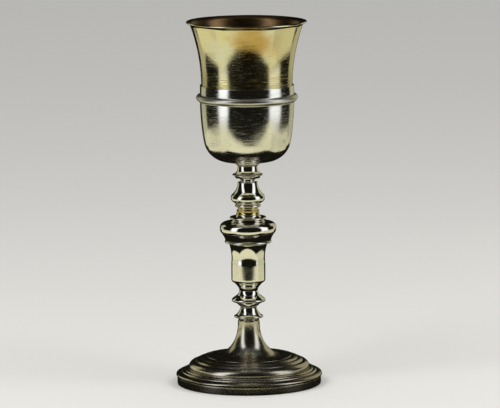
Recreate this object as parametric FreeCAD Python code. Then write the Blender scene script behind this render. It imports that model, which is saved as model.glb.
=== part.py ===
"""A communion chalice: a gilt cup in a silver calyx, a stem of turned pieces and a stepped foot.

Every piece is turned about Z, and the foot's underside is at Z = 0. The foot and the stem are stacked from
the bottom up, so each piece stands on the one below it. The tie rod hangs from the cup, runs down through
the stem, and a wing nut under a plate inside the foot pulls the whole stack together.
"""
import FreeCAD, Part
import math
import os

# Foot
BAND_R = 52.4
BAND_H = 5.6
BAND_WALL = 1.3
LEDGE_OVERHANG = 0.8
LEDGE_H = 3.4
LEDGE_SLOPE = 4.0
DOME_H = 11.2
DOME_STEPS = 5.2
DOME_ROLL = 4.4
DOME_WALL = 1.3
DOME_SHELF = 9.4
TRUMPET_H = 25.8
TRUMPET_NECK_R = 7.9
TRUMPET_WALL = 1.1
TRUMPET_FLARE = 2.36

# Stem, from the foot up: height of each piece, then its largest radius
STEM_FLANGE_H, STEM_FLANGE_R = 5.8, 10.7
STEM_SPOOL_H, STEM_SPOOL_R = 5.2, 7.9
VASE_FOOT_H, VASE_FOOT_R = 11.2, 12.5
VASE_H, VASE_R = 34.8, 12.4
VASE_MOUTH_R = 14.1
VASE_FLARE_H = 14.6
VASE_WALL = 1.2
KNOP_BASE_H, KNOP_BASE_R = 8.2, 17.1
KNOP_CUSHION_H, KNOP_R = 8.9, 19.9
KNOP_WALL = 1.1
KNOP_FLANGE_H, KNOP_FLANGE_R = 3.9, 13.3
GILT_SPOOL_H, GILT_SPOOL_R = 4.4, 8.6
KNOP_RING_H, KNOP_RING_R = 3.5, 9.6
BELL_H, BELL_R = 16.9, 12.6
BELL_WALL = 1.2
UPPER_FLANGE_H, UPPER_FLANGE_R = 5.8, 11.1
UPPER_SPOOL_H, UPPER_SPOOL_R = 6.1, 8.8
NECK_WALL = 0.75

# Cup and calyx
COLLAR_H, COLLAR_R = 1.0, 9.3
CALYX_H = 57.0
CALYX_R = 34.1
CALYX_SWELL = 2.7
CALYX_TAPER = 0.1
CALYX_CORNER_R = 17.0
CALYX_BOTTOM_R = 100.0
CALYX_SWELL_H = 32.0
CALYX_WALL = 0.8
BEAD_PROUD = 2.7
BEAD_H = 5.0
BEAD_DROP = 8.9
CUP_RISE = 46.3
CUP_WALL = 1.0
LIP_R = 43.4
LIP_H = 3.9
LIP_TURN = 3.1
LIP_THICKNESS = 1.3
BOSS_R = 6.0
BOSS_STUD_R = 4.6
BOSS_STUD_H = 9.0
BOSS_SOCKET_H = 8.0

# Tie rod and what clamps it
ROD_R = 3.0
ROD_TAIL = 2.0
SEAT_RISE = 8.8
SEAT_PLATE_H = 2.0
WASHER_R = 8.0
WASHER_H = 1.5
NUT_R = 5.0
NUT_H = 7.0
NUT_COLLAR_R = 6.6
NUT_COLLAR_H = 1.4
WING_SPAN = 12.5
WING_THICKNESS = 2.2
WING_H = 9.0
WING_DROP = 3.5
WING_CORNER_R = 3.4

# Clearances and registers
THREAD_FIT = 0.05
ROD_CLEARANCE = 0.4
REGISTER_WALL = 0.8
REGISTER_H = 0.8
REGISTER_FIT = 0.05
REGISTER_DEPTH_GAP = 0.2
LIFT_CLEARANCE = 0.3
CALYX_GAP = 0.25
THREAD_END_GAP = 0.2

ledge_r = BAND_R + LEDGE_OVERHANG
ledge_inner_r = ledge_r - LEDGE_SLOPE
roll_r = ledge_inner_r - DOME_STEPS
roll_top_r = roll_r - DOME_ROLL
seam_r = roll_top_r - DOME_SHELF
calyx_low_r = CALYX_R - CALYX_SWELL
calyx_top_r = CALYX_R - CALYX_TAPER
rod_bore_r = ROD_R + ROD_CLEARANCE
register_r = rod_bore_r + REGISTER_WALL
register_bore_r = register_r + REGISTER_FIT
register_depth = REGISTER_H + REGISTER_DEPTH_GAP
neck_r = register_bore_r + NECK_WALL
stud_bore_r = BOSS_STUD_R + LIFT_CLEARANCE
stud_bore_depth = BOSS_STUD_H + LIFT_CLEARANCE - UPPER_SPOOL_H

# Heights above the table
ledge_z = BAND_H
dome_z = ledge_z + LEDGE_H
seam_z = dome_z + DOME_H
stem_z = seam_z + TRUMPET_H
stem_spool_z = stem_z + STEM_FLANGE_H
vase_foot_z = stem_spool_z + STEM_SPOOL_H
vase_z = vase_foot_z + VASE_FOOT_H
knop_base_z = vase_z + VASE_H
knop_cushion_z = knop_base_z + KNOP_BASE_H
knop_flange_z = knop_cushion_z + KNOP_CUSHION_H
gilt_spool_z = knop_flange_z + KNOP_FLANGE_H
knop_ring_z = gilt_spool_z + GILT_SPOOL_H
bell_z = knop_ring_z + KNOP_RING_H
upper_flange_z = bell_z + BELL_H
upper_spool_z = upper_flange_z + UPPER_FLANGE_H
collar_z = upper_spool_z + UPPER_SPOOL_H
calyx_z = collar_z + COLLAR_H
calyx_top_z = calyx_z + CALYX_H
lip_z = calyx_top_z + CUP_RISE
seat_z = seam_z + SEAT_RISE
washer_z = seat_z - SEAT_PLATE_H - WASHER_H
nut_z = washer_z - NUT_H
rod_end_z = nut_z - ROD_TAIL
stud_z = collar_z - BOSS_STUD_H
rod_top_z = stud_z + BOSS_SOCKET_H

BASE = FreeCAD.Vector(0, 0, 0)
UP = FreeCAD.Vector(0, 0, 1)


def at(r, z):
    """The point at radius r and height z of a section in the XZ plane."""
    return FreeCAD.Vector(r, 0, z)


def bowed(start, end, bow):
    """A straight edge, or an arc whose rise is bow times its chord, to the right of its travel."""
    if bow == 0:
        return Part.LineSegment(start, end).toShape()
    run = end - start
    middle = (start + end) * 0.5 + FreeCAD.Vector(run.z, 0, -run.x) * bow
    return Part.Arc(start, middle, end).toShape()


def smooth(points):
    """A curve through the given points."""
    curve = Part.BSplineCurve()
    curve.interpolate(points)
    return curve


def inset(points, depth):
    """The points of a smooth curve moved to the left of its travel by depth."""
    curve = smooth(points)
    moved = []
    for point in points:
        run = curve.tangent(curve.parameter(point))[0]
        moved.append(point - FreeCAD.Vector(run.z, 0, -run.x) * depth)
    return moved


def path(corners, z=0.0):
    """Edges through corners (r, height above z, bow of the edge that ends there)."""
    edges = []
    for (r0, z0, _), (r1, z1, bow) in zip(corners, corners[1:]):
        edges.append(bowed(at(r0, z + z0), at(r1, z + z1), bow))
    return edges


def turned(edges):
    """The solid turned about Z from an outline, which a straight edge closes."""
    first = edges[0].firstVertex(True).Point
    last = edges[-1].lastVertex(True).Point
    if first.distanceToPoint(last) > 1e-6:
        edges = edges + [Part.LineSegment(last, first).toShape()]
    face = Part.Face(Part.Wire(edges))
    return face.revolve(BASE, UP, 360)


def ring(inner_r, outer_r, z, height):
    """A plain flat ring."""
    outer = Part.makeCylinder(outer_r, height, at(0, z), UP)
    return outer.cut(Part.makeCylinder(inner_r, 3 * height, at(0, z - height), UP))


def stem_piece(z, height, skin):
    """A solid turned piece that takes the register below it and carries one for the piece above."""
    corners = [(rod_bore_r, register_depth, 0), (register_bore_r, register_depth, 0)]
    corners += [(register_bore_r, 0, 0)]
    corners += skin
    top = height + REGISTER_H
    corners += [(register_r, height, 0), (register_r, top, 0), (rod_bore_r, top, 0)]
    return turned(path(corners, z))


# Foot

def foot_band():
    inner = BAND_R - BAND_WALL
    edge = 0.3
    corners = [(inner, 0, 0), (BAND_R - edge, 0, 0), (BAND_R, edge, 0.2)]
    corners += [(BAND_R, BAND_H, 0), (inner, BAND_H, 0)]
    return turned(path(corners))


def foot_ledge():
    """The moulding between the band and the dome, with a rounded nose and a sloping top."""
    nose = 0.8
    corners = [
        (ledge_inner_r - DOME_WALL, 0, 0),
        (ledge_r - nose, 0, 0),
        (ledge_r - nose, 2.4, 0.34),
        (ledge_inner_r, LEDGE_H, 0.05),
        (ledge_inner_r - DOME_WALL, LEDGE_H, 0),
    ]
    return turned(path(corners, ledge_z))


def foot_dome():
    """Two fine steps, the big roll, two smaller rolls and the shoulder up to the trumpet."""
    step = (ledge_inner_r - roll_r) / 2
    shelf = roll_top_r - seam_r
    skin = [
        (ledge_inner_r, 0, 0),
        (ledge_inner_r - step, 0.9, 0.25),
        (roll_r, 1.8, 0.25),
        (roll_top_r, DOME_H - 3.7, 0.24),
        (roll_top_r - 0.5, DOME_H - 3.6, 0),
        (roll_top_r - 0.42 * shelf, DOME_H - 1.8, 0.12),
        (seam_r + 0.3, DOME_H - 0.3, 0.1),
        (seam_r + 0.3, DOME_H, 0),
        (seam_r, DOME_H, 0),
    ]
    lining = [
        (seam_r, DOME_H - DOME_WALL, 0),
        (roll_top_r - 0.42 * shelf, DOME_H - 1.8 - DOME_WALL, 0),
        (roll_top_r - DOME_WALL, DOME_H - 4.2 - DOME_WALL, 0),
        (roll_r - 2 * DOME_WALL, 1.0, -0.18),
        (ledge_inner_r - DOME_WALL, 0, 0),
    ]
    return turned(path(skin + lining, dome_z))


def trumpet_skin():
    """The trumpet's outside: a quarter of a superellipse, level at the seam and upright at the neck."""
    spread = seam_r - TRUMPET_NECK_R
    count = 10
    points = []
    for i in range(count + 1):
        turn = math.pi / 2 * i / count
        r = seam_r - spread * math.sin(turn) ** (2 / TRUMPET_FLARE)
        z = seam_z + TRUMPET_H - TRUMPET_H * math.cos(turn) ** (2 / TRUMPET_FLARE)
        points.append(at(r, z))
    return points


def foot_trumpet():
    outside = trumpet_skin()
    inside = inset(outside, TRUMPET_WALL)
    top = stem_z + REGISTER_H
    crown = TRUMPET_WALL * 2
    inner_top = at(inside[-1].x, stem_z - crown)
    inside = [point for point in inside if point.z < stem_z - crown - 1] + [inner_top]
    edges = [smooth(outside).toShape()]
    edges += path([
        (outside[-1].x, stem_z, 0), (register_r, stem_z, 0), (register_r, top, 0), (rod_bore_r, top, 0),
        (rod_bore_r, inner_top.z, 0), (inner_top.x, inner_top.z, 0),
    ])
    edges.append(smooth(inside[::-1]).toShape())
    return turned(edges)


def trumpet_hollow():
    """What the trumpet's lining encloses, for the plate that is fitted inside it."""
    inside = inset(trumpet_skin(), TRUMPET_WALL)
    edges = [smooth(inside).toShape()]
    edges += path([(inside[-1].x, inside[-1].z, 0), (0, inside[-1].z, 0), (0, inside[0].z, 0)])
    return turned(edges)


def seat_plate():
    blank = ring(rod_bore_r, seam_r, seat_z - SEAT_PLATE_H, SEAT_PLATE_H)
    return blank.common(trumpet_hollow())


# Stem

def stem_flange():
    return stem_piece(stem_z, STEM_FLANGE_H, [
        (TRUMPET_NECK_R - 0.5, 0, 0),
        (TRUMPET_NECK_R - 0.5, 0.5, 0),
        (STEM_FLANGE_R - 0.6, 2.3, -0.2),
        (STEM_FLANGE_R - 0.6, 3.8, 0.34),
        (STEM_SPOOL_R, STEM_FLANGE_H, -0.1),
    ])


def stem_spool():
    return stem_piece(stem_spool_z, STEM_SPOOL_H, [
        (STEM_SPOOL_R, 0, 0),
        (neck_r + 1.0, STEM_SPOOL_H - 1.7, -0.05),
        (neck_r + 1.0, STEM_SPOOL_H - 0.8, -0.3),
        (neck_r + 1.9, STEM_SPOOL_H, -0.1),
    ])


def vase_foot():
    return stem_piece(vase_foot_z, VASE_FOOT_H, [
        (neck_r + 1.9, 0, 0),
        (VASE_FOOT_R - 1.1, 2.9, -0.08),
        (VASE_FOOT_R - 0.4, 4.9, 0.24),
        (neck_r + 3.3, 7.8, 0.02),
        (neck_r + 1.7, VASE_FOOT_H, -0.08),
    ])


def vase_body():
    """A hollow pot with a rounded bottom, open at its flared mouth."""
    floor = 8.0
    skin = [
        (neck_r + 1.7, 0, 0),
        (neck_r + 3.1, 3.1, -0.1),
        (VASE_R - 1.4, 6.1, -0.06),
        (VASE_R, 8.0, 0.14),
        (VASE_R, VASE_H - VASE_FLARE_H, 0),
        (VASE_MOUTH_R, VASE_H, -0.06),
    ]
    lining = [
        (VASE_MOUTH_R - VASE_WALL, VASE_H, 0),
        (VASE_R - VASE_WALL, VASE_H - VASE_FLARE_H, 0.06),
        (VASE_R - VASE_WALL, floor + 1.5, 0),
        (VASE_R - VASE_WALL - 1.5, floor, 0.2),
        (rod_bore_r, floor, 0),
    ]
    base = [(rod_bore_r, register_depth, 0), (register_bore_r, register_depth, 0), (register_bore_r, 0, 0)]
    return turned(path(base + skin + lining, vase_z))


def knop_base():
    """The knop's lower shell: a half-round rim, and a hollow side that widens to the cushion."""
    rim_h = 2.0
    skin = [
        (VASE_MOUTH_R, 0, 0),
        (KNOP_BASE_R - 0.6, 0.5, -0.06),
        (KNOP_BASE_R - 0.6, rim_h, 0.35),
        (KNOP_BASE_R - 0.5, rim_h + 0.3, 0),
        (KNOP_R, KNOP_BASE_H, -0.06),
    ]
    lining = [
        (KNOP_R - KNOP_WALL, KNOP_BASE_H, 0),
        (KNOP_BASE_R - 0.5 - KNOP_WALL, rim_h + 0.6, 0.06),
        (KNOP_BASE_R - 0.5 - KNOP_WALL, KNOP_WALL, 0),
        (rod_bore_r, KNOP_WALL, 0),
    ]
    return turned(path([(rod_bore_r, 0, 0)] + skin + lining, knop_base_z))


def knop_cushion():
    """The knop's upper shell, which carries the register for the flange."""
    shoulder_h = 5.4
    skin = [
        (KNOP_R, 0, 0),
        (KNOP_R + 0.1, shoulder_h, 0.1),
        (KNOP_R - 3.4, 7.4, 0.12),
        (KNOP_FLANGE_R - 1.7, KNOP_CUSHION_H, 0.0),
    ]
    crown = [
        (register_r, KNOP_CUSHION_H, 0),
        (register_r, KNOP_CUSHION_H + REGISTER_H, 0),
        (rod_bore_r, KNOP_CUSHION_H + REGISTER_H, 0),
    ]
    lining = [
        (rod_bore_r, 7.7 - KNOP_WALL, 0),
        (KNOP_R - 3.2, 7.7 - KNOP_WALL, 0),
        (KNOP_R + 0.2 - KNOP_WALL, shoulder_h - KNOP_WALL, -0.15),
        (KNOP_R - KNOP_WALL, 0, -0.05),
    ]
    return turned(path(skin + crown + lining, knop_cushion_z))


def knop_flange():
    return stem_piece(knop_flange_z, KNOP_FLANGE_H, [
        (KNOP_FLANGE_R - 1.7, 0, 0),
        (KNOP_FLANGE_R - 0.5, 1.1, -0.12),
        (KNOP_FLANGE_R - 0.5, 2.3, 0.4),
        (GILT_SPOOL_R, KNOP_FLANGE_H, -0.26),
    ])


def gilt_spool():
    return stem_piece(gilt_spool_z, GILT_SPOOL_H, [
        (GILT_SPOOL_R, 0, 0),
        (GILT_SPOOL_R, 0.6, 0),
        (GILT_SPOOL_R - 0.3, 3.2, -0.18),
        (KNOP_RING_R - 2.6, GILT_SPOOL_H, -0.1),
    ])


def knop_ring():
    return stem_piece(knop_ring_z, KNOP_RING_H, [
        (KNOP_RING_R - 2.6, 0, 0),
        (KNOP_RING_R - 0.8, 1.3, -0.15),
        (KNOP_RING_R - 0.8, 2.9, 0.42),
        (KNOP_RING_R - 1.6, KNOP_RING_H, -0.1),
    ])


def bell_knop():
    """A hollow bell, open below and drawn in to a narrow neck above."""
    ceiling = 9.6
    skin = [
        (KNOP_RING_R - 1.6, 0, 0),
        (BELL_R - 0.5, 2.8, 0.08),
        (BELL_R - 0.7, 6.4, 0.1),
        (BELL_R - 4.9, 12.5, -0.07),
        (BELL_R - 5.4, 15.9, -0.03),
        (neck_r, BELL_H, -0.2),
    ]
    crown = [
        (register_r, BELL_H, 0), (register_r, BELL_H + REGISTER_H, 0), (rod_bore_r, BELL_H + REGISTER_H, 0),
    ]
    lining = [
        (rod_bore_r, ceiling, 0),
        (BELL_R - 4.0 - BELL_WALL, ceiling, 0),
        (BELL_R - 1.0 - BELL_WALL, 6.2, 0.05),
        (BELL_R - 0.9 - BELL_WALL, 2.6, -0.08),
        (KNOP_RING_R - 1.6 - BELL_WALL, 0, -0.05),
    ]
    return turned(path(skin + crown + lining, bell_z))


def upper_flange():
    """The drip flange, bored out above for the stud of the cup's boss."""
    return turned(path([
        (rod_bore_r, register_depth, 0), (register_bore_r, register_depth, 0), (register_bore_r, 0, 0),
        (neck_r, 0, 0),
        (UPPER_FLANGE_R - 2.4, 1.7, -0.24),
        (UPPER_FLANGE_R - 0.4, 3.9, -0.16),
        (UPPER_FLANGE_R - 0.4, 4.8, 0.42),
        (UPPER_SPOOL_R, UPPER_FLANGE_H, -0.16),
        (stud_bore_r, UPPER_FLANGE_H, 0),
        (stud_bore_r, UPPER_FLANGE_H - stud_bore_depth, 0),
        (rod_bore_r, UPPER_FLANGE_H - stud_bore_depth, 0),
    ], upper_flange_z))


def upper_spool():
    return turned(path([
        (stud_bore_r, 0, 0),
        (UPPER_SPOOL_R, 0, 0),
        (UPPER_SPOOL_R - 1.5, 3.0, -0.12),
        (UPPER_SPOOL_R - 1.5, 4.8, -0.02),
        (UPPER_SPOOL_R - 0.7, UPPER_SPOOL_H, -0.2),
        (stud_bore_r, UPPER_SPOOL_H, 0),
    ], upper_spool_z))


# Cup and what hangs from it

def side_tilt():
    """How far the calyx's side leans out where it meets the corner."""
    return math.atan2(2 * CALYX_SWELL, CALYX_SWELL_H)


def corner_centre():
    """The centre of the arc that joins the calyx's side to its bottom, which is part of a large sphere."""
    r = calyx_low_r - CALYX_CORNER_R * math.cos(side_tilt())
    drop = math.sqrt((CALYX_BOTTOM_R - CALYX_CORNER_R) ** 2 - r ** 2)
    return at(r, calyx_z + CALYX_BOTTOM_R - drop)


def bottom_z(r, depth=0.0):
    """The height of the calyx's bottom at radius r, moved inward by depth."""
    return calyx_z + CALYX_BOTTOM_R - math.sqrt((CALYX_BOTTOM_R - depth) ** 2 - r ** 2)


def calyx_skin(depth):
    """The calyx's side above its corner, moved inward by depth: a parabola, upright at its top."""
    count = 6
    low_z = corner_centre().z - CALYX_CORNER_R * math.sin(side_tilt())
    points = []
    for i in range(count + 1):
        t = i / count
        points.append(at(CALYX_R - CALYX_SWELL * (1 - t) ** 2, low_z + CALYX_SWELL_H * t))
    return inset(points, depth)


def calyx_outline(depth, hole_r):
    """The calyx's outside moved inward by depth, from a hole in its bottom up to where the bead sits."""
    centre = corner_centre()
    bend_r = CALYX_CORNER_R - depth
    tilt = math.atan2(centre.x, calyx_z + CALYX_BOTTOM_R - centre.z)
    half_turn = (tilt + math.pi / 2 - side_tilt()) / 2
    start = at(hole_r, bottom_z(hole_r, depth))
    join = centre + at(bend_r * math.sin(tilt), -bend_r * math.cos(tilt))
    middle_r = (hole_r + join.x) / 2
    bend = centre + at(bend_r * math.sin(half_turn), -bend_r * math.cos(half_turn))
    side = calyx_skin(depth)
    bottom = Part.Arc(start, at(middle_r, bottom_z(middle_r, depth)), join).toShape()
    corner = Part.Arc(join, bend, side[0]).toShape()
    return [bottom, corner, smooth(side).toShape()]


def ends(edges):
    """The first and the last point of a run of edges."""
    return edges[0].firstVertex(True).Point, edges[-1].lastVertex(True).Point


def backward(edges):
    """The same edges, travelled the other way."""
    return [edge.reversed() for edge in edges[::-1]]


def calyx():
    bead_top_z = calyx_top_z - BEAD_DROP + BEAD_H / 2
    outside = calyx_outline(0, BOSS_R + CALYX_GAP)
    inside = calyx_outline(CALYX_WALL, BOSS_R + CALYX_GAP)
    rim = path([
        (CALYX_R, ends(outside)[1].z, 0), (CALYX_R, bead_top_z, 0), (calyx_top_r, calyx_top_z, 0),
        (calyx_top_r - CALYX_WALL, calyx_top_z, 0), (CALYX_R - CALYX_WALL, bead_top_z, 0),
        (ends(inside)[1].x, ends(inside)[1].z, 0),
    ])
    return turned(outside + rim + backward(inside))


def calyx_bead():
    bead_z = calyx_top_z - BEAD_DROP
    foot = 0.9
    bulge = (BEAD_PROUD - foot) / (BEAD_H - 0.3)
    return turned(path([
        (CALYX_R, -BEAD_H / 2 - 0.8, 0),
        (CALYX_R + 0.7, -BEAD_H / 2 - 0.6, 0.1),
        (CALYX_R + foot, -BEAD_H / 2, -0.1),
        (CALYX_R + foot, BEAD_H / 2 - 0.3, bulge),
        (CALYX_R, BEAD_H / 2, 0.1),
    ], bead_z))


def cup():
    """The bowl follows the calyx's inside, then flares in a parabola to the turned-out lip."""
    outside = calyx_outline(CALYX_WALL + CALYX_GAP, 0)
    inside = calyx_outline(CALYX_WALL + CALYX_GAP + CUP_WALL, 0)
    waist_r = CALYX_R - CALYX_WALL - CALYX_GAP
    flare_r = LIP_R - LIP_TURN
    flare_h = CUP_RISE - LIP_H
    count = 6
    flare = []
    for i in range(count + 1):
        t = i / count
        flare.append(at(waist_r + (flare_r - waist_r) * t * t, calyx_top_z + flare_h * t))
    flare_in = inset(flare, CUP_WALL)
    lip = path([
        (flare[-1].x, flare[-1].z, 0),
        (LIP_R - 0.3, lip_z - LIP_THICKNESS, -0.16),
        (LIP_R - 0.3, lip_z, 0.4),
        (flare_in[-1].x, flare_in[-1].z, 0.14),
    ])
    outer = outside + [Part.LineSegment(ends(outside)[1], flare[0]).toShape(), smooth(flare).toShape()]
    inner = [smooth(flare_in[::-1]).toShape(), Part.LineSegment(flare_in[0], ends(inside)[1]).toShape()]
    return turned(outer + lip + inner + backward(inside))


def cup_boss():
    """The socket soldered under the cup, with a stud that reaches into the stem and takes the rod."""
    depth = CALYX_WALL + CALYX_GAP
    wall = path([
        (0, rod_top_z + THREAD_END_GAP, 0), (ROD_R, rod_top_z + THREAD_END_GAP, 0), (ROD_R, stud_z, 0),
        (BOSS_STUD_R, stud_z, 0), (BOSS_STUD_R, collar_z, 0), (BOSS_R, collar_z, 0),
        (BOSS_R, bottom_z(BOSS_R, depth), 0),
    ])
    half_r = BOSS_R / 2
    dish = Part.Arc(*(at(r, bottom_z(r, depth)) for r in (BOSS_R, half_r, 0)))
    return turned(wall + [dish.toShape()])


def collar_ring():
    """The thin ring under the calyx, hollowed above to the calyx's bottom."""
    inner = BOSS_R + CALYX_GAP
    edge_r = COLLAR_R - 0.5
    skin = path([
        (inner, collar_z, 0), (edge_r - 0.3, collar_z, 0), (edge_r, collar_z + 0.3, 0),
        (edge_r, collar_z + COLLAR_H - 0.1, 0.42), (edge_r - 0.2, bottom_z(edge_r - 0.2), 0),
    ])
    middle_r = (edge_r - 0.2 + inner) / 2
    seat = Part.Arc(*(at(r, bottom_z(r)) for r in (edge_r - 0.2, middle_r, inner)))
    return turned(skin + [seat.toShape()])


def tie_rod():
    tip = 0.6
    return turned(path([
        (0, rod_end_z, 0), (ROD_R - tip, rod_end_z, 0), (ROD_R, rod_end_z + tip, 0), (ROD_R, rod_top_z, 0),
        (0, rod_top_z, 0),
    ]))


def washer():
    return ring(rod_bore_r, WASHER_R, washer_z, WASHER_H)


def wing_nut():
    """A threaded hub with two flat wings that hang below it, for the fingers."""
    bore_r = ROD_R + THREAD_FIT
    hub = Part.makeCylinder(NUT_R, NUT_H, at(0, nut_z), UP)
    collar = Part.makeCylinder(NUT_COLLAR_R, NUT_COLLAR_H, at(0, washer_z - NUT_COLLAR_H), UP)
    low = nut_z - WING_DROP
    start = FreeCAD.Vector(-WING_SPAN, -WING_THICKNESS / 2, low)
    blank = Part.makeBox(2 * WING_SPAN, WING_THICKNESS, WING_H, start)
    corners = [edge for edge in blank.Edges if abs(edge.Curve.Direction.y) > 0.5]
    wings = blank.makeFillet(WING_CORNER_R, corners)
    gap_r = NUT_R - 0.4
    finger_gap = Part.makeCylinder(gap_r, WING_DROP + 1, at(0, nut_z - WING_DROP - 1), UP)
    nut = hub.fuse([collar, wings.cut(finger_gap)]).removeSplitter()
    return nut.cut(Part.makeCylinder(bore_r, 3 * NUT_H, at(0, nut_z - NUT_H), UP))


PIECES = [
    foot_band, foot_ledge, foot_dome, foot_trumpet, seat_plate, washer, wing_nut, tie_rod,
    stem_flange, stem_spool, vase_foot, vase_body, knop_base, knop_cushion, knop_flange, gilt_spool,
    knop_ring, bell_knop, upper_flange, upper_spool, collar_ring, cup_boss, calyx, calyx_bead, cup,
]


def main():
    os.makedirs("parts", exist_ok=True)
    for piece in PIECES:
        shape = piece()
        if not shape.isValid() or len(shape.Solids) != 1:
            raise ValueError(piece.__name__ + " isn't one valid solid")
        shape.Solids[0].exportStep("parts/" + piece.__name__ + ".step")
        print(piece.__name__, round(shape.Volume, 1), "mm3")


main()
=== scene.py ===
"""The looks of the chalice: each CAD piece that shows is turned again from its own outline, with soft
edges, a hand-raised unevenness, dents and worn polish, and stands in a plain studio."""
import math
import bpy
from mathutils import Matrix, Vector, noise


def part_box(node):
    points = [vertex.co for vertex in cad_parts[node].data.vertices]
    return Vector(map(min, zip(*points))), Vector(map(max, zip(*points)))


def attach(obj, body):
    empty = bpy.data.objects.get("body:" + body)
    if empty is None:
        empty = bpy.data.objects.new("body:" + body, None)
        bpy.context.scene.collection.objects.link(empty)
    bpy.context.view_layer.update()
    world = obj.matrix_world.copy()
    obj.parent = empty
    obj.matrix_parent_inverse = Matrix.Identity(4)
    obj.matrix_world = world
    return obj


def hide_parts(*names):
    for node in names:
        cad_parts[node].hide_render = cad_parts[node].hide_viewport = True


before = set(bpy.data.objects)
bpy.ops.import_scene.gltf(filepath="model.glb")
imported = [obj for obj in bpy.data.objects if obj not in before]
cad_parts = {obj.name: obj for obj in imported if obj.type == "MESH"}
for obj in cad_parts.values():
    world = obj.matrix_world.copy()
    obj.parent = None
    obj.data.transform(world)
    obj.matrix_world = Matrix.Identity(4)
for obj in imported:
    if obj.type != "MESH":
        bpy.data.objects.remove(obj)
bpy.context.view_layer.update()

MM = 0.001
ON_AXIS = 1e-7

# A run of an outline gets an extra point near an end where its neighbour is under SHORT_NEIGHBOUR of its
# length, at most NEAREST_EXTRA of the way along. Points that turn by more than CORNER stay corners, and the
# rest is curved, with a point at about every STEP. EDGE_REACH and BEND_REACH count such points.
SHORT_NEIGHBOUR = 0.4
NEAREST_EXTRA = 0.3
CORNER = math.radians(26)
STEP = 0.1 * MM
EDGE_REACH = 2
BEND_REACH = 4

# The rings that are kept turn by about MOST_TURN or lie about LONGEST_STEP apart.
MOST_TURN = math.radians(5)
LONGEST_STEP = 1.2 * MM

WOBBLE_SIZE = 16 * MM
CUP_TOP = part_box("cup")[1][2]
CALYX_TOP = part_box("calyx")[1][2]


# Outlines

def outline(node):
    """The section of a turned CAD node as (r, z) points in order, in metres, and whether it is closed."""
    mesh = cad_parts[node].data
    key = {}
    for vertex in mesh.vertices:
        x, y, z = vertex.co
        if abs(y) < ON_AXIS and x > -ON_AXIS:
            key[vertex.index] = (round(max(x, 0.0), 7), round(z, 7))
    links = {}
    for edge in mesh.edges:
        a, b = (key.get(i) for i in edge.vertices)
        if a is not None and b is not None and a != b:
            links.setdefault(a, set()).add(b)
            links.setdefault(b, set()).add(a)
    ends = [spot for spot, others in links.items() if len(others) == 1]
    start = min(ends, key=lambda spot: spot[1]) if ends else min(links)
    order = [start]
    seen = {start}
    while True:
        ways = [spot for spot in links[order[-1]] if spot not in seen]
        if not ways:
            break
        order.append(min(ways, key=lambda spot: spot[1]) if len(order) == 1 else ways[0])
        seen.add(order[-1])
    return [Vector(spot) for spot in order], not ends


def even(points, closed):
    """The outline with extra points near the ends of its long straight runs, so that they stay straight."""
    n = len(points)
    runs = [(points[(i + 1) % n] - points[i]).length for i in range(n if closed else n - 1)]
    out = []
    for i, run in enumerate(runs):
        a, b = points[i], points[(i + 1) % n]
        out.append(a)
        before = runs[i - 1] if closed or i else run
        after = runs[(i + 1) % len(runs)] if closed or i + 1 < len(runs) else run
        if before < SHORT_NEIGHBOUR * run:
            out.append(a.lerp(b, min(NEAREST_EXTRA, before / run)))
        if after < SHORT_NEIGHBOUR * run:
            out.append(b.lerp(a, min(NEAREST_EXTRA, after / run)))
    if not closed:
        out.append(points[-1])
    return out


def turn_at(a, b, c):
    """The angle that the path a, b, c turns by at b."""
    first, second = b - a, c - b
    if first.length < 1e-9 or second.length < 1e-9:
        return 0.0
    return first.angle(second)


def fine(points, closed):
    """The outline with smooth curves between its corners, with a point at about every STEP."""
    n = len(points)

    def point(i):
        return points[i % n] if closed else points[max(0, min(n - 1, i))]

    sharp = [turn_at(point(i - 1), point(i), point(i + 1)) > CORNER for i in range(n)]
    dense = []
    for i in range(n if closed else n - 1):
        p1, p2 = point(i), point(i + 1)
        run = (p2 - p1).length
        before = point(i - 1) if not sharp[i] and (closed or i > 0) else p1 - (p2 - p1)
        after = point(i + 2) if not sharp[(i + 1) % n] and (closed or i + 2 < n) else p2 + (p2 - p1)
        gap0, gap2 = (p1 - before).length, (after - p2).length
        slope1 = ((p1 - before) / gap0 * run + (p2 - p1) / run * gap0) / (gap0 + run)
        slope2 = ((p2 - p1) / run * gap2 + (after - p2) / gap2 * run) / (run + gap2)
        count = max(1, round(run / STEP))
        for k in range(count):
            t = k / count
            h1, h2 = 2 * t**3 - 3 * t**2 + 1, 3 * t**2 - 2 * t**3
            g1, g2 = t**3 - 2 * t**2 + t, t**3 - t**2
            dense.append(p1 * h1 + p2 * h2 + (slope1 * g1 + slope2 * g2) * run)
    if not closed:
        dense.append(points[-1])
    return dense


def soften(points, closed):
    """Rounds the outline's corners by averaging over about EDGE_REACH points each way."""
    weights = [math.exp(-(k / EDGE_REACH) ** 2) for k in range(-2 * EDGE_REACH, 2 * EDGE_REACH + 1)]
    total = sum(weights)
    n = len(points)
    out = []
    for i in range(n):
        mean = Vector((0, 0))
        for k, weight in enumerate(weights):
            j = i + k - 2 * EDGE_REACH
            if closed:
                mean += points[j % n] * weight
            elif j < 0:
                mean += Vector((-points[-j].x, points[-j].y)) * weight
            elif j >= n:
                other = points[2 * (n - 1) - j]
                mean += Vector((-other.x, other.y)) * weight
            else:
                mean += points[j] * weight
        out.append(mean / total)
    if not closed:
        out[0].x = 0.0
        out[-1].x = 0.0
    return out


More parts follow.
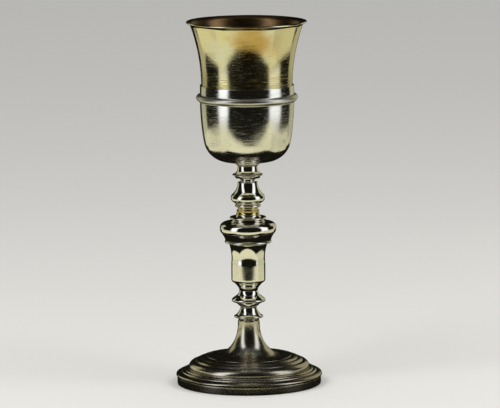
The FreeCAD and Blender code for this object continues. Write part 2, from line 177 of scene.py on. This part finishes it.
def bends(points, closed):
    """How sharply the outline curves at each point, positive where it is hollow, in radians per mm."""
    n = len(points)
    area = sum(points[i - 1].cross(points[i]) for i in range(n))
    sign = 1 if area > 0 else -1
    out = []
    for i in range(n):
        if closed:
            a, b, c = points[(i - BEND_REACH) % n], points[i], points[(i + BEND_REACH) % n]
        else:
            a, b, c = points[max(0, i - BEND_REACH)], points[i], points[min(n - 1, i + BEND_REACH)]
        first, second = b - a, c - b
        if first.length < 1e-9 or second.length < 1e-9:
            out.append(0.0)
            continue
        turn = math.atan2(first.cross(second), first.dot(second))
        out.append(-sign * turn / ((first.length + second.length) / 2 / MM))
    return out


def thin_out(points, closed):
    """The indices of enough points to keep the outline's shape."""
    keep = [0]
    turned = 0.0
    for i in range(1, len(points) - 1):
        turned += turn_at(points[i - 1], points[i], points[i + 1])
        if turned > MOST_TURN or (points[i] - points[keep[-1]]).length > LONGEST_STEP:
            keep.append(i)
            turned = 0.0
    if not closed:
        keep.append(len(points) - 1)
    return keep


# Turning and unevenness

def swell(p, size, seed):
    """Smooth noise between -1 and 1 that varies over size metres."""
    return noise.noise(p / size + Vector((seed, 2.3 * seed, 7.1 * seed)))


def signed_volume(mesh):
    """Six times the volume, negative where the faces point inwards."""
    total = 0.0
    for face in mesh.polygons:
        a = mesh.vertices[face.vertices[0]].co
        for i in range(1, len(face.vertices) - 1):
            b = mesh.vertices[face.vertices[i]].co
            c = mesh.vertices[face.vertices[i + 1]].co
            total += a.dot(b.cross(c))
    return total


def revolved(name, rings, closed, segments, marks):
    """The mesh of an outline turned about Z. marks gives each point attribute one value per ring."""
    verts, rows, ring_of, faces = [], [], [], []
    for i, ring in enumerate(rings):
        count = segments if ring.x > ON_AXIS else 1
        rows.append([len(verts) + k % count for k in range(segments)])
        for k in range(count):
            angle = 2 * math.pi * k / segments
            verts.append(Vector((ring.x * math.cos(angle), ring.x * math.sin(angle), ring.y)))
        ring_of += [i] * count
    pairs = list(zip(rows, rows[1:])) + ([(rows[-1], rows[0])] if closed else [])
    for low, high in pairs:
        for k in range(segments):
            m = (k + 1) % segments
            corners = list(dict.fromkeys((low[k], low[m], high[m], high[k])))
            if len(corners) > 2:
                faces.append(corners)
    mesh = bpy.data.meshes.new(name)
    mesh.from_pydata(verts, [], faces)
    mesh.update()
    if signed_volume(mesh) < 0:
        mesh.flip_normals()
    for title, values in marks.items():
        attribute = mesh.attributes.new(title, "FLOAT", "POINT")
        attribute.data.foreach_set("value", [values[i] for i in ring_of])
    return mesh


def unsettle(mesh, wobble, dents, seed):
    """Moves the surface in and out by about wobble, and pushes each dent in by its depth."""
    shift = []
    for vertex in mesh.vertices:
        p = vertex.co
        d = wobble * (swell(p, WOBBLE_SIZE, seed) + 0.4 * swell(p, WOBBLE_SIZE / 2.6, seed + 5))
        for centre, radius, depth in dents:
            d -= depth * math.exp(-((p - centre).length / radius) ** 2)
        shift.append(vertex.normal * d)
    for vertex, move in zip(mesh.vertices, shift):
        vertex.co += move


def turned_piece(name, node, body, material, segments, wobble, dents=()):
    """A piece turned from the outline of a CAD node, which it replaces."""
    points, closed = outline(node)
    dense = soften(fine(even(points, closed), closed), closed)
    hollow = bends(dense, closed)
    keep = thin_out(dense, closed)
    rings = [dense[i] for i in keep]
    top = max(range(len(rings)), key=lambda i: rings[i].y)
    marks = {
        "recess": [max(-1.0, min(1.0, hollow[i])) for i in keep],
        "inside": [float(not closed and i > top) for i in range(len(rings))],
    }
    mesh = revolved(name, rings, closed, segments, marks)
    unsettle(mesh, wobble, dents, 0.37 * sum(ord(letter) for letter in node))
    mesh.shade_smooth()
    mesh.materials.append(material)
    piece = bpy.data.objects.new(name, mesh)
    bpy.context.scene.collection.objects.link(piece)
    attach(piece, body)
    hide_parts(node)


def toward(azimuth, distance, height):
    """The point at that angle from the camera's side of the axis, positive to the right."""
    a = math.radians(azimuth)
    return Vector((distance * math.sin(a), -distance * math.cos(a), height))


# Materials

class Nodes:
    """Short calls for building a material's nodes."""

    def __init__(self, name):
        self.material = bpy.data.materials.new(name)
        self.material.use_nodes = True
        self.tree = self.material.node_tree
        self.tree.nodes.clear()
        self.out = self.tree.nodes.new("ShaderNodeOutputMaterial")

    def add(self, kind, **settings):
        node = self.tree.nodes.new(kind)
        for key, value in settings.items():
            setattr(node, key, value)
        return node

    def link(self, source, target):
        """Links an output to a socket, or sets the socket where source is a number or a tuple."""
        if isinstance(source, (int, float, tuple)):
            target.default_value = source
        else:
            self.tree.links.new(source, target)

    def math(self, operation, a, b=0.0, clamp=False):
        node = self.add("ShaderNodeMath", operation=operation, use_clamp=clamp)
        self.link(a, node.inputs[0])
        self.link(b, node.inputs[1])
        return node.outputs[0]

    def plus(self, a, b, clamp=False):
        return self.math("ADD", a, b, clamp)

    def times(self, a, b):
        return self.math("MULTIPLY", a, b)

    def centred(self, value):
        return self.math("SUBTRACT", value, 0.5)

    def vector(self, operation, a, b=None, scale=None):
        node = self.add("ShaderNodeVectorMath", operation=operation)
        self.link(a, node.inputs[0])
        if b is not None:
            node.inputs[1].default_value = b
        if scale is not None:
            node.inputs["Scale"].default_value = scale
        return node.outputs

    def split(self, vector):
        node = self.add("ShaderNodeSeparateXYZ")
        self.link(vector, node.inputs[0])
        return node.outputs

    def mix(self, factor, a, b):
        node = self.add("ShaderNodeMix", data_type="RGBA")
        self.link(factor, node.inputs[0])
        self.link(a, node.inputs[6])
        self.link(b, node.inputs[7])
        return node.outputs[2]

    def span(self, value, low, high, to_low=0.0, to_high=1.0):
        """Where value lies between low and high, eased, and turned into to_low to to_high."""
        node = self.add("ShaderNodeMapRange", clamp=True, interpolation_type="SMOOTHSTEP")
        for socket, number in zip(node.inputs, (value, low, high, to_low, to_high)):
            self.link(number, socket)
        return node.outputs[0]

    def noise(self, vector, scale, detail, rough):
        node = self.add("ShaderNodeTexNoise")
        self.link(vector, node.inputs["Vector"])
        node.inputs["Scale"].default_value = scale
        node.inputs["Detail"].default_value = detail
        node.inputs["Roughness"].default_value = rough
        return node.outputs["Fac"]

    def attribute(self, name):
        return self.add("ShaderNodeAttribute", attribute_name=name).outputs["Fac"]


class Metal(Nodes):
    """A worn polished metal, built up step by step in its colour and its roughness."""

    def __init__(self, name, shades):
        super().__init__(name)
        clean, worn, self.tarnish = ((*shade, 1) for shade in shades)
        self.spot = self.add("ShaderNodeTexCoord").outputs["Object"]
        x, y, self.z = self.split(self.spot)
        self.radius = self.math("SQRT", self.plus(self.times(x, x), self.times(y, y)))
        self.patches = self.noise(self.spot, 28.0, 5.0, 0.6)
        self.streaks = self.round_marks(1900.0, 3.2)
        self.fine_streaks = self.round_marks(5200.0, 9.0)
        self.colour = self.mix(self.span(self.patches, 0.42, 0.66), clean, worn)

    def round_marks(self, across, along):
        """Streaks that run round the axis: across of them to the metre, each about 1 / along radians."""
        flat = self.vector("MULTIPLY", self.spot, (1, 1, 0))[0]
        unit = self.vector("NORMALIZE", flat)[0]
        x, y, _ = self.split(self.vector("SCALE", unit, scale=along)[0])
        join = self.add("ShaderNodeCombineXYZ")
        self.link(x, join.inputs[0])
        self.link(y, join.inputs[1])
        self.link(self.times(self.plus(self.z, self.times(self.radius, 1.7)), across), join.inputs[2])
        return self.noise(join.outputs[0], 1.0, 3.0, 0.6)

    def polish(self, rough, rough_more, streak_rough):
        """The roughness of clean metal, and what worn patches and streaks add to it."""
        self.roughness = self.plus(rough, self.times(self.span(self.patches, 0.4, 0.7), rough_more))
        coarse = self.times(self.span(self.streaks, 0.48, 0.74), streak_rough)
        fine_ones = self.times(self.span(self.fine_streaks, 0.5, 0.75), streak_rough * 0.5)
        self.roughness = self.plus(self.plus(self.roughness, coarse), fine_ones)

    def stain(self, shade, centre, reach):
        """A stain with a ragged edge."""
        away = self.vector("DISTANCE", self.spot, centre)["Value"]
        ragged = self.plus(away, self.times(self.centred(self.patches), reach * 1.6))
        near = self.span(ragged, reach * 0.25, reach, 1.0, 0.0)
        broken = self.times(near, self.span(self.streaks, 0.2, 0.6, 0.7, 1.0))
        self.colour = self.mix(broken, self.colour, (*shade, 1))

    def grime(self):
        """Tarnish left in the hollows."""
        specks = self.noise(self.spot, 900.0, 2.0, 0.5)
        uneven = self.plus(self.attribute("recess"), self.times(self.centred(specks), 0.3))
        amount = self.span(uneven, 0.25, 0.9)
        self.colour = self.mix(self.times(amount, 0.75), self.colour, self.tarnish)
        self.roughness = self.plus(self.roughness, self.times(amount, 0.15))

    def spots(self, strength):
        """Small dull spots."""
        amount = self.span(self.noise(self.spot, 420.0, 3.0, 0.6), 0.60, 0.72)
        self.colour = self.mix(self.times(amount, strength), self.colour, self.tarnish)
        self.roughness = self.plus(self.roughness, self.times(amount, 0.12))

    def wear_low(self, shade, bottom, top, dulling):
        """Brushed wear that grows from height top down to height bottom."""
        height = self.plus(self.z, self.times(self.centred(self.patches), 0.02))
        low = self.span(height, bottom, top, 1.0, 0.0)
        self.colour = self.mix(
            self.times(low, self.span(self.streaks, 0.35, 0.6, 0.5, 1.0)), self.colour, (*shade, 1))
        brushed = self.span(self.streaks, 0.3, 0.65, dulling * 0.4, dulling)
        self.roughness = self.plus(self.roughness, self.times(low, brushed))

    def dull_inside(self, shade):
        """A darker and duller skin on the inner side."""
        inner = self.attribute("inside")
        darker = tuple(0.6 * part for part in shade)
        dull = self.mix(self.span(self.patches, 0.35, 0.65), (*shade, 1), (*darker, 1))
        self.colour = self.mix(inner, self.colour, dull)
        self.roughness = self.plus(self.roughness, self.times(inner, 0.24), clamp=True)

    def finish(self, scratch):
        """The shader, with the streaks as fine scratches."""
        bump = self.add("ShaderNodeBump")
        bump.inputs["Strength"].default_value = scratch
        bump.inputs["Distance"].default_value = 0.2 * MM
        height = self.plus(self.times(self.streaks, 0.6), self.times(self.fine_streaks, 0.4))
        self.link(height, bump.inputs["Height"])
        shader = self.add("ShaderNodeBsdfPrincipled")
        shader.inputs["Metallic"].default_value = 1.0
        self.link(self.colour, shader.inputs["Base Color"])
        self.link(self.roughness, shader.inputs["Roughness"])
        self.link(bump.outputs[0], shader.inputs["Normal"])
        self.link(shader.outputs[0], self.out.inputs[0])
        return self.material


def metal(name, shades, rough, rough_more, streak_rough=0.08, scratch=0.06, stain=None, low_wear=None,
          inside=None, spotting=0.0):
    """A metal whose shades are clean, worn and tarnished."""
    made = Metal(name, shades)
    made.polish(rough, rough_more, streak_rough)
    if stain:
        made.stain(*stain)
    made.grime()
    if spotting:
        made.spots(spotting)
    if low_wear:
        made.wear_low(*low_wear)
    if inside:
        made.dull_inside(inside)
    return made.finish(scratch)


SILVER = ((0.93, 0.91, 0.87), (0.84, 0.81, 0.75), (0.16, 0.14, 0.11))
FOOT_SILVER = ((0.70, 0.65, 0.56), (0.56, 0.50, 0.41), (0.14, 0.11, 0.08))
GILDING = ((0.84, 0.75, 0.48), (0.82, 0.79, 0.64), (0.25, 0.20, 0.08))
STEM_GILDING = ((0.84, 0.68, 0.26), (0.80, 0.68, 0.36), (0.25, 0.20, 0.08))
BRASS = ((0.66, 0.50, 0.24), (0.50, 0.38, 0.18), (0.15, 0.10, 0.05))
IRON = ((0.34, 0.33, 0.32), (0.24, 0.20, 0.16), (0.08, 0.06, 0.04))
CUP_STAIN = ((0.58, 0.38, 0.12), toward(8, 39 * MM, CUP_TOP - 14 * MM), 23 * MM)
CUP_WEAR = ((0.56, 0.48, 0.21), CALYX_TOP - 2.7 * MM, CALYX_TOP + 22.3 * MM, 0.17)
CUP_INSIDE = (0.27, 0.165, 0.075)

silver = metal("silver_polished", SILVER, 0.05, 0.05, 0.05)
silver_brushed = metal("silver_brushed", SILVER, 0.08, 0.07, 0.18, 0.10)
silver_wire = metal("silver_wire", SILVER, 0.30, 0.08, 0.10, 0.15)
foot_silver = metal("silver_foot", FOOT_SILVER, 0.20, 0.05, 0.03, 0.02, spotting=0.05)
gilt = metal("gilding", GILDING, 0.05, 0.05, 0.19, 0.10, CUP_STAIN, CUP_WEAR, CUP_INSIDE)
gilt_spool = metal("gilding_stem", STEM_GILDING, 0.08, 0.06)
brass = metal("brass_plain", BRASS, 0.35, 0.15)
iron = metal("iron_rod", IRON, 0.4, 0.2)


# Pieces

def foot():
    for name, node, segments, wobble in (
        ("band", "foot_band", 224, 0.03), ("ledge", "foot_ledge", 224, 0.03),
        ("dome", "foot_dome", 224, 0.05), ("trumpet", "foot_trumpet", 192, 0.05),
    ):
        turned_piece(name, node, "stand", foot_silver, segments, wobble * MM)


def stem():
    for name, node, segments in (
        ("flange_low", "stem_flange", 128), ("spool_low", "stem_spool", 128), ("vase_base", "vase_foot", 128),
        ("vase", "vase_body", 160), ("knop_low", "knop_base", 160), ("knop_high", "knop_cushion", 160),
        ("flange_knop", "knop_flange", 128), ("ring_knop", "knop_ring", 128), ("bell", "bell_knop", 144),
        ("flange_high", "upper_flange", 128), ("spool_high", "upper_spool", 128),
    ):
        turned_piece(name, node, "stand", silver, segments, 0.02 * MM)
    turned_piece("spool_gilt", "gilt_spool", "stand", gilt_spool, 128, 0.02 * MM)


def calyx_dents():
    """The dents low on the calyx, as (centre, radius, depth) in metres."""
    side_r = 32.5
    dents = []
    for azimuth, below_rim, radius, depth in (
        (-36, 44.2, 3.0, 0.32), (-22, 40.2, 1.8, 0.16), (-50, 38.7, 2.4, 0.22), (27, 41.7, 2.0, 0.20),
        (42, 43.2, 3.2, 0.34), (57, 37.7, 2.4, 0.24), (118, 33.7, 3.6, 0.22), (-152, 40.7, 3.0, 0.22),
    ):
        centre = toward(azimuth, side_r * MM, CALYX_TOP - below_rim * MM)
        dents.append((centre, radius * MM, depth * MM))
    return dents


def bowl():
    turned_piece("ring_calyx", "collar_ring", "bowl", silver, 128, 0.01 * MM)
    turned_piece("calyx_shell", "calyx", "bowl", silver_brushed, 224, 0.09 * MM, calyx_dents())
    turned_piece("bead", "calyx_bead", "bowl", silver_wire, 224, 0.04 * MM)
    turned_piece("bowl_gilt", "cup", "bowl", gilt, 224, 0.07 * MM)


def inner_parts():
    """The parts inside keep their CAD shape and get a finish."""
    for node in ("seat_plate", "washer", "cup_boss", "wing_nut", "tie_rod"):
        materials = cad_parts[node].data.materials
        materials.clear()
        materials.append(iron if node == "tie_rod" else brass)


foot()
stem()
bowl()
inner_parts()


# Studio: a pale floor under soft lamps, and cards that only the metal's reflections see

def floor():
    mesh = bpy.data.meshes.new("floor")
    half = 30.0
    corners = [(-half, -half, 0), (half, -half, 0), (half, half, 0), (-half, half, 0)]
    mesh.from_pydata(corners, [], [(0, 1, 2, 3)])
    n = Nodes("floor_pale")
    shader = n.add("ShaderNodeBsdfPrincipled")
    shader.inputs["Base Color"].default_value = (0.66, 0.65, 0.62, 1)
    shader.inputs["Roughness"].default_value = 0.7
    n.link(shader.outputs[0], n.out.inputs[0])
    mesh.materials.append(n.material)
    made = bpy.data.objects.new("floor", mesh)
    bpy.context.scene.collection.objects.link(made)
    made.visible_glossy = False


def card(name, corners, colour, strength, soft=None):
    """A glowing card that only reflections see. soft is the share of its width and height that fades."""
    mesh = bpy.data.meshes.new(name)
    mesh.from_pydata(corners, [], [tuple(range(len(corners)))])
    n = Nodes(name)
    glow = n.add("ShaderNodeEmission")
    glow.inputs["Color"].default_value = (*colour, 1)
    glow.inputs["Strength"].default_value = strength
    if soft:
        corner_uv = mesh.uv_layers.new(name="edges")
        for loop, spot in zip(corner_uv.data, ((0, 0), (1, 0), (1, 1), (0, 1))):
            loop.uv = spot
        level = strength
        for value, share in zip(n.split(n.add("ShaderNodeTexCoord").outputs["UV"]), soft):
            edge = n.math("MINIMUM", value, n.math("SUBTRACT", 1.0, value))
            level = n.times(level, n.span(edge, 0.0, share))
        n.link(level, glow.inputs["Strength"])
    n.link(glow.outputs[0], n.out.inputs[0])
    mesh.materials.append(n.material)
    made = bpy.data.objects.new(name, mesh)
    bpy.context.scene.collection.objects.link(made)
    made.visible_camera = False
    made.visible_diffuse = False
    made.visible_transmission = False
    made.visible_shadow = False


def upright(name, low_edges, high_edges, distance, low, high, colour, strength, soft=None):
    """A card that stands facing the axis, between two azimuths at its foot and two at its top."""
    corners = [toward(azimuth, distance, low) for azimuth in low_edges]
    corners += [toward(azimuth, distance, high) for azimuth in reversed(high_edges)]
    card(name, corners, colour, strength, soft)


def lamp(name, azimuth, power):
    """A soft lamp that lights the floor and isn't seen in reflections."""
    aim = Vector((0, 0, 0.1))
    slant = 1.6 * math.cos(math.radians(45))
    spot = toward(azimuth, slant, aim.z + slant)
    data = bpy.data.lights.new(name, "AREA")
    data.shape = "RECTANGLE"
    data.size = 0.9
    data.size_y = 0.9
    data.energy = power
    made = bpy.data.objects.new(name, data)
    made.location = spot
    made.rotation_euler = (aim - spot).to_track_quat("-Z", "Y").to_euler()
    made.visible_glossy = False
    bpy.context.scene.collection.objects.link(made)


def surround():
    """A world that lights the floor and is pale to the camera, but dark in the metal's reflections."""
    world = bpy.data.worlds.new("studio")
    bpy.context.scene.world = world
    world.use_nodes = True
    tree = world.node_tree
    tree.nodes.clear()
    mix = tree.nodes.new("ShaderNodeMixShader")
    path = tree.nodes.new("ShaderNodeLightPath")
    tree.links.new(path.outputs["Is Glossy Ray"], mix.inputs[0])
    for shade, socket in (((0.8, 0.8, 0.8, 1), mix.inputs[1]), ((0.008, 0.0075, 0.005, 1), mix.inputs[2])):
        glow = tree.nodes.new("ShaderNodeBackground")
        glow.inputs[0].default_value = shade
        tree.links.new(glow.outputs[0], socket)
    tree.links.new(mix.outputs[0], tree.nodes.new("ShaderNodeOutputWorld").inputs[0])


CREAM = (0.86, 0.84, 0.57)
COOL = (0.96, 1.0, 1.0)


def boxes():
    """Two tall soft boxes beside the camera, and a faint glow from above."""
    upright("box_left", (-79, -44), (-63, -27), 0.9, -0.12, 2.2, COOL, 1.2, (0.3, 0.08))
    upright("box_right", (52, 94), (52, 94), 0.9, -0.08, 1.5, COOL, 1.1, (0.25, 0.08))
    upright("above", (-70, 20), (-70, 20), 0.35, 0.9, 1.3, COOL, 0.3, (0.3, 0.3))
    half, height = 0.7, 1.5
    corners = [(-half, -half, height), (half, -half, height), (half, half, height), (-half, half, height)]
    card("ceiling", corners, COOL, 0.07)


def table():
    """Cream cards like a table top around a dark place where the chalice stands, and like its low sides."""
    # Just under the floor: reflections don't see the floor, and the camera sees no card.
    level = -0.002
    for name, spots, strength in (
        ("table_front",
         ((-0.7, -0.41), (0.7, -0.41), (0.7, -0.16), (0.2, -0.15), (-0.21, -0.12), (-0.7, -0.1)), 0.88),
        ("table_left", ((-0.7, -0.1), (-0.21, -0.12), (-0.27, 0.3), (-0.7, 0.6)), 0.86),
        ("table_right", ((0.2, -0.15), (0.7, -0.16), (0.7, 0.5), (0.27, 0.3)), 0.72),
    ):
        card(name, [(x, y, level) for x, y in spots], CREAM, strength)
    far, low, high = 0.4, 0.04, 0.09
    for name, x, near, strength in (("side_left", -0.3, -0.1, 0.74), ("side_right", 0.3, -0.15, 0.66)):
        corners = [(x, far, low), (x, near, low), (x, near, high), (x, far, high)]
        card(name, corners, CREAM, strength)
    upright("back_left", (-146, -119), (-146, -119), 0.8, 0.0, 0.6, CREAM, 0.5)
    upright("back_right", (127, 163), (127, 163), 0.8, 0.0, 0.6, CREAM, 0.5)


def studio():
    floor()
    surround()
    lamp("lamp_left", -50, 12)
    lamp("lamp_right", 65, 10)
    boxes()
    table()


def camera():
    data = bpy.data.cameras.new("camera")
    data.lens = 289.6
    data.sensor_width = 36.0
    data.clip_start = 0.05
    data.clip_end = 100.0
    made = bpy.data.objects.new("camera", data)
    pitch, roll = math.radians(8.42), math.radians(0.45)
    made.matrix_world = (
        Matrix.Translation((0.00157, -2.888, 0.559))
        @ Matrix.Rotation(math.pi / 2 - pitch, 4, "X")
        @ Matrix.Rotation(-roll, 4, "Z")
    )
    bpy.context.scene.collection.objects.link(made)
    bpy.context.scene.camera = made


studio()
camera()
bpy.context.scene.view_settings.view_transform = "Standard"
